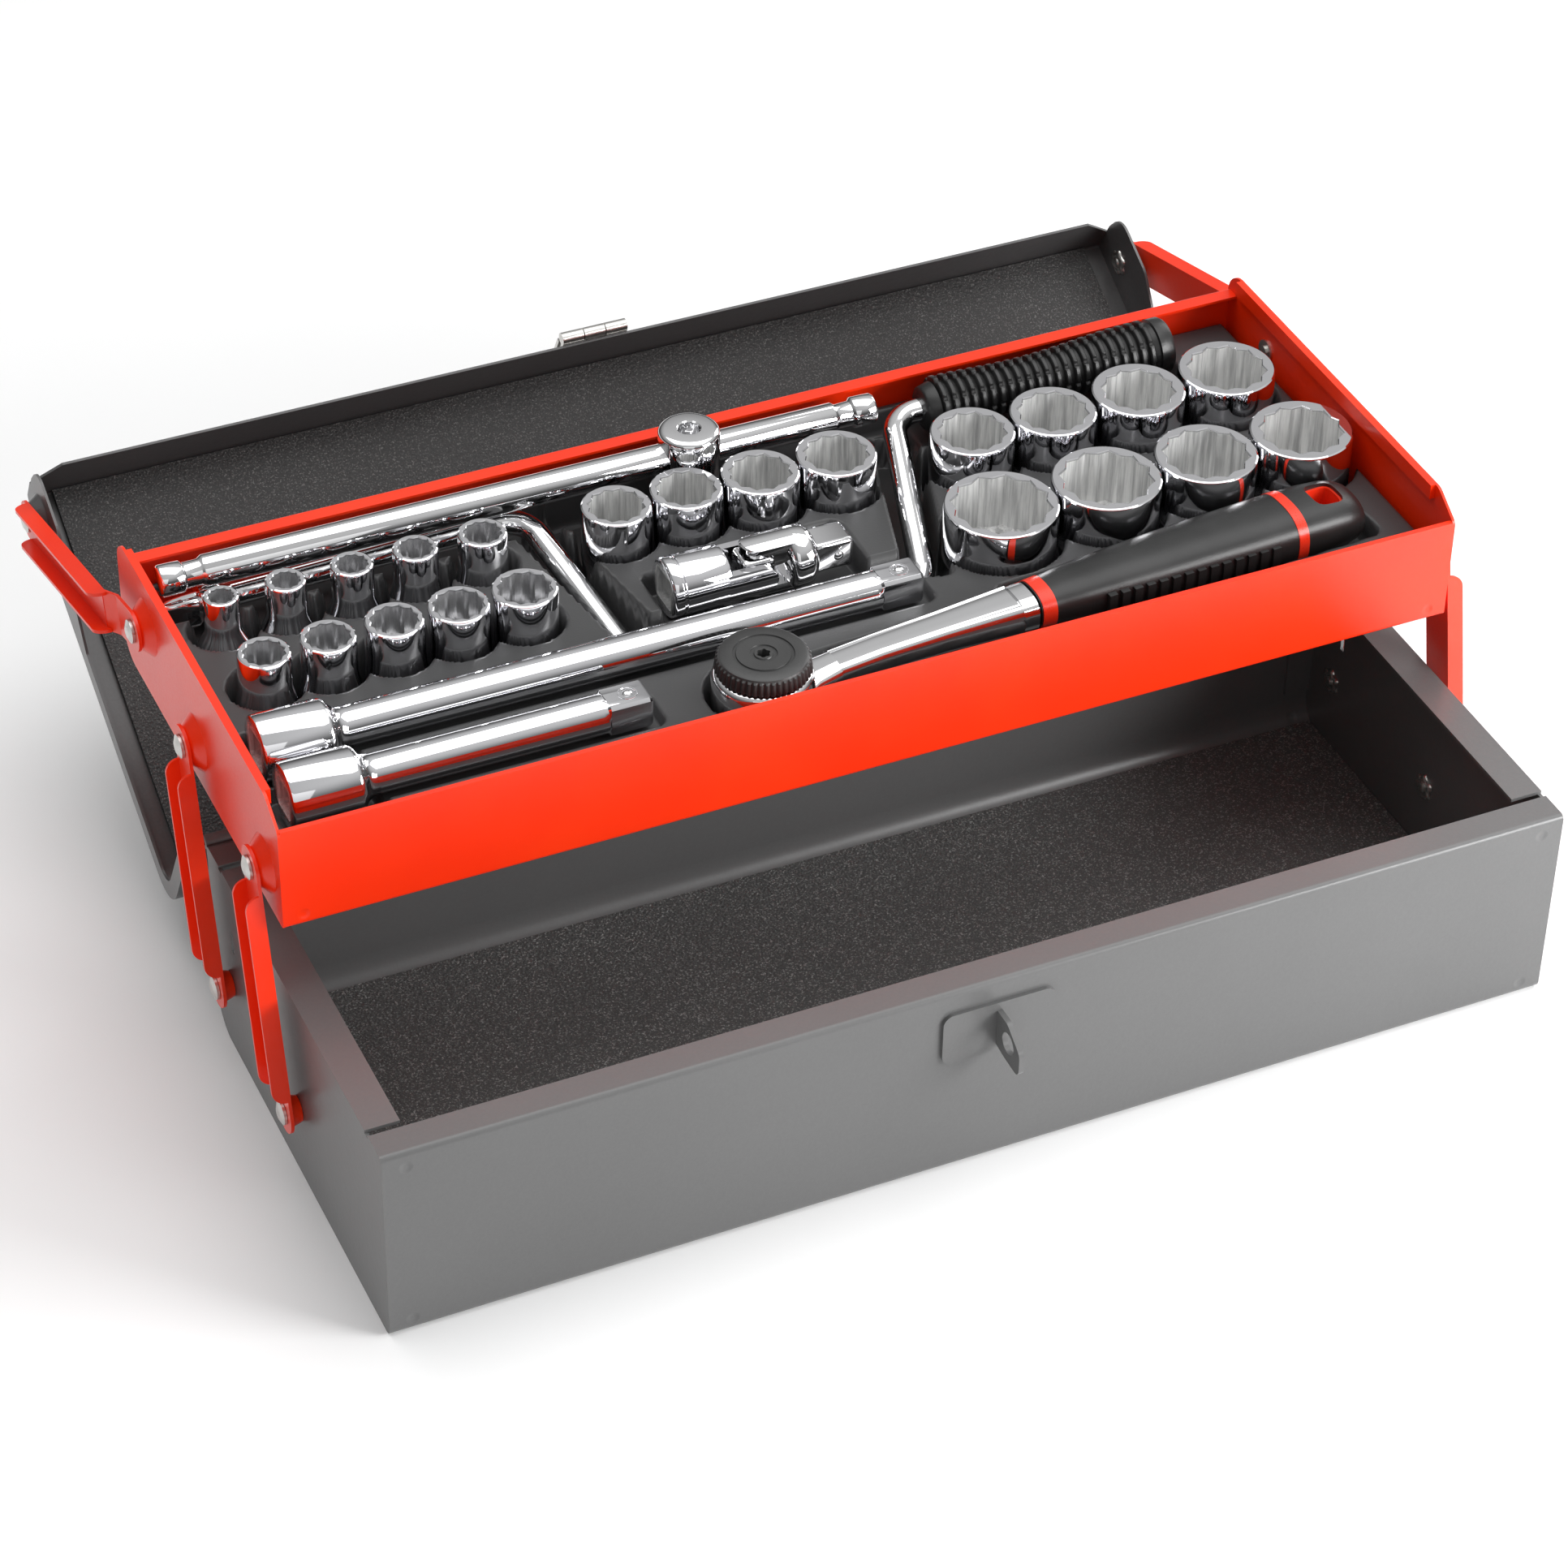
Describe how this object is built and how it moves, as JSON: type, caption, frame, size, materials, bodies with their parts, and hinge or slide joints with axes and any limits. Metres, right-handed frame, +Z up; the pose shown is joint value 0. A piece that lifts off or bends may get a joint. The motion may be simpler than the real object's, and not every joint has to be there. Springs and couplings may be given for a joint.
{
  "type": "cantilever toolbox with socket set",
  "caption": "Steel cantilever toolbox standing open: bottom box, tool tray on parallel links, hinged lid with lid links, hasp and staple, and a fitted socket and ratchet set.",
  "frame": {"origin": "middle of the bottom face of the box, which stands on the floor", "axes": "+X along the box's length to the right, +Y to the rear where the lid is hinged, +Z up; drawn standing open"},
  "size_m": [0.4776, 0.4245, 0.1608],
  "materials": {
    "grey_paint": "satin grey paint",
    "orange_paint": "glossy orange-red paint",
    "zinc": "zinc plated steel",
    "mat_foam": "speckled foam mat",
    "liner_foam": "speckled foam lining",
    "insert_plastic": "satin thermoformed plastic",
    "tool_chrome": "polished chrome plate",
    "black_grip": "moulded plastic",
    "red_band": "moulded plastic ring"
  },
  "bodies": {
    "box": {"box_body": "grey_paint", "box_end_left": "grey_paint", "box_end_right": "grey_paint", "box_mat": "mat_foam", "hasp_staple": "grey_paint", "lower_link_rivets": "zinc", "box_hinge_leaf": "grey_paint", "lid_hinge_pin": "zinc"},
    "lid": {"lid_panel": "grey_paint", "lid_end_left": "grey_paint", "lid_end_right": "grey_paint", "lid_liner": "liner_foam", "lid_rivet_tails": "zinc", "lid_hinge_leaf": "grey_paint", "hasp_plate": "zinc", "hasp_pin": "zinc"},
    "front_links": {"front_link_left": "orange_paint", "front_link_right": "orange_paint"},
    "rear_links": {"rear_link_left": "orange_paint", "rear_link_right": "orange_paint"},
    "tray": {"tray_pan": "orange_paint", "tray_end_left": "orange_paint", "tray_end_right": "orange_paint", "tray_link_rivets": "zinc", "upper_link_rivets": "zinc", "tool_insert": "insert_plastic"},
    "upper_links": {"upper_link_left": "orange_paint", "upper_link_right": "orange_paint", "upper_link_studs": "zinc"},
    "hasp": {"hasp_strap": "zinc"},
    "brace": {"brace_crank": "tool_chrome"},
    "brace_handle": {"brace_grip": "black_grip"},
    "t_handle": {"t_handle_bar": "tool_chrome"},
    "t_head": {"t_handle_head": "tool_chrome", "t_handle_ball": "tool_chrome"},
    "long_extension": {"long_extension": "tool_chrome", "long_extension_ball": "tool_chrome"},
    "short_extension": {"short_extension": "tool_chrome", "short_extension_ball": "tool_chrome"},
    "joint_socket": {"joint_socket_yoke": "tool_chrome"},
    "joint_cross": {"joint_cross": "tool_chrome"},
    "joint_drive": {"joint_drive_yoke": "tool_chrome", "joint_ball": "tool_chrome"},
    "ratchet": {"ratchet_body": "tool_chrome", "ratchet_grip": "black_grip", "ratchet_bands": "red_band"},
    "ratchet_selector": {"ratchet_selector": "black_grip"},
    "ratchet_drive": {"ratchet_drive": "tool_chrome", "ratchet_ball": "tool_chrome"},
    "small_sockets": {"sockets_8_to_12": "tool_chrome"},
    "medium_sockets": {"sockets_13_to_17": "tool_chrome"},
    "middle_sockets": {"sockets_18_to_21": "tool_chrome"},
    "large_sockets": {"sockets_22_to_26": "tool_chrome"},
    "largest_sockets": {"sockets_27_to_32": "tool_chrome"}
  },
  "joints": [
    {"name": "lid_hinge", "type": "hinge", "parent": "box", "child": "lid", "pos_m": [0, 0.0907, 0.081], "axis": [-1, 0, 0], "range_deg": [-150.48, 0]},
    {"name": "front_link_hinge", "type": "hinge", "parent": "box", "child": "front_links", "pos_m": [0, -0.0015, 0.032], "axis": [-1, 0, 0], "range_deg": [-57.42, 0]},
    {"name": "rear_link_hinge", "type": "hinge", "parent": "box", "child": "rear_links", "pos_m": [0, 0.0695, 0.032], "axis": [-1, 0, 0], "range_deg": [-57.42, 0]},
    {"name": "tray_hinge", "type": "hinge", "parent": "front_links", "child": "tray", "pos_m": [0, 0.0185, 0.12692], "axis": [1, 0, 0], "range_deg": [-57.42, 0]},
    {"name": "upper_link_hinge", "type": "hinge", "parent": "tray", "child": "upper_links", "pos_m": [0, 0.1405, 0.14134], "axis": [-1, 0, 0], "range_deg": [-182.23, 0]},
    {"name": "hasp_hinge", "type": "hinge", "parent": "lid", "child": "hasp", "pos_m": [0, 0.27428, 0.12657], "axis": [1, 0, 0], "range_deg": [0, 180]},
    {"name": "brace_lift", "type": "slide", "parent": "tray", "child": "brace", "axis": [0, 0, 1], "range_m": [0, 0.06]},
    {"name": "t_handle_lift", "type": "slide", "parent": "brace", "child": "t_handle", "axis": [0, 0, 1], "range_m": [0, 0.03]},
    {"name": "t_head_slide", "type": "slide", "parent": "t_handle", "child": "t_head", "axis": [1, 0, 0], "range_m": [-0.0018, 0.008]},
    {"name": "brace_grip_spin", "type": "hinge", "parent": "brace", "child": "brace_handle", "pos_m": [0.083, 0.15323, 0.14397], "axis": [0.9994, -0.0109, 0.0337], "continuous": true},
    {"name": "long_extension_lift", "type": "slide", "parent": "tray", "child": "long_extension", "axis": [0, 0, 1], "range_m": [0, 0.06]},
    {"name": "short_extension_lift", "type": "slide", "parent": "tray", "child": "short_extension", "axis": [0, 0, 1], "range_m": [0, 0.06]},
    {"name": "joint_lift", "type": "slide", "parent": "tray", "child": "joint_socket", "axis": [0, 0, 1], "range_m": [0, 0.06]},
    {"name": "joint_tilt", "type": "hinge", "parent": "joint_socket", "child": "joint_cross", "pos_m": [-0.013, 0.0921, 0.13984], "axis": [0, -1, 0], "range_deg": [0, 45]},
    {"name": "joint_swing", "type": "hinge", "parent": "joint_cross", "child": "joint_drive", "pos_m": [-0.013, 0.0921, 0.13984], "axis": [0, 0, 1], "range_deg": [-4, 8]},
    {"name": "ratchet_lift", "type": "slide", "parent": "tray", "child": "ratchet", "axis": [0, 0, 1], "range_m": [0, 0.06]},
    {"name": "selector_turn", "type": "hinge", "parent": "ratchet", "child": "ratchet_selector", "pos_m": [-0.0384, 0.0267, 0.15384], "axis": [0, 0, 1], "range_deg": [-12, 12]},
    {"name": "ratchet_drive_spin", "type": "hinge", "parent": "ratchet", "child": "ratchet_drive", "pos_m": [-0.0384, 0.0267, 0.11684], "axis": [0, 0, 1], "continuous": true},
    {"name": "small_sockets_lift", "type": "slide", "parent": "tray", "child": "small_sockets", "axis": [0, 0, 1], "range_m": [0, 0.06]},
    {"name": "medium_sockets_lift", "type": "slide", "parent": "tray", "child": "medium_sockets", "axis": [0, 0, 1], "range_m": [0, 0.06]},
    {"name": "middle_sockets_lift", "type": "slide", "parent": "tray", "child": "middle_sockets", "axis": [0, 0, 1], "range_m": [0, 0.06]},
    {"name": "large_sockets_lift", "type": "slide", "parent": "tray", "child": "large_sockets", "axis": [0, 0, 1], "range_m": [0, 0.06]},
    {"name": "largest_sockets_lift", "type": "slide", "parent": "tray", "child": "largest_sockets", "axis": [0, 0, 1], "range_m": [0, 0.06]}
  ],
  "couplings": [
    {"joint": "front_link_hinge", "follows": "lid_hinge", "ratio": 0.38153},
    {"joint": "rear_link_hinge", "follows": "lid_hinge", "ratio": 0.38153},
    {"joint": "tray_hinge", "follows": "lid_hinge", "ratio": 0.38153},
    {"joint": "upper_link_hinge", "follows": "lid_hinge", "ratio": 1.2107}
  ]
}
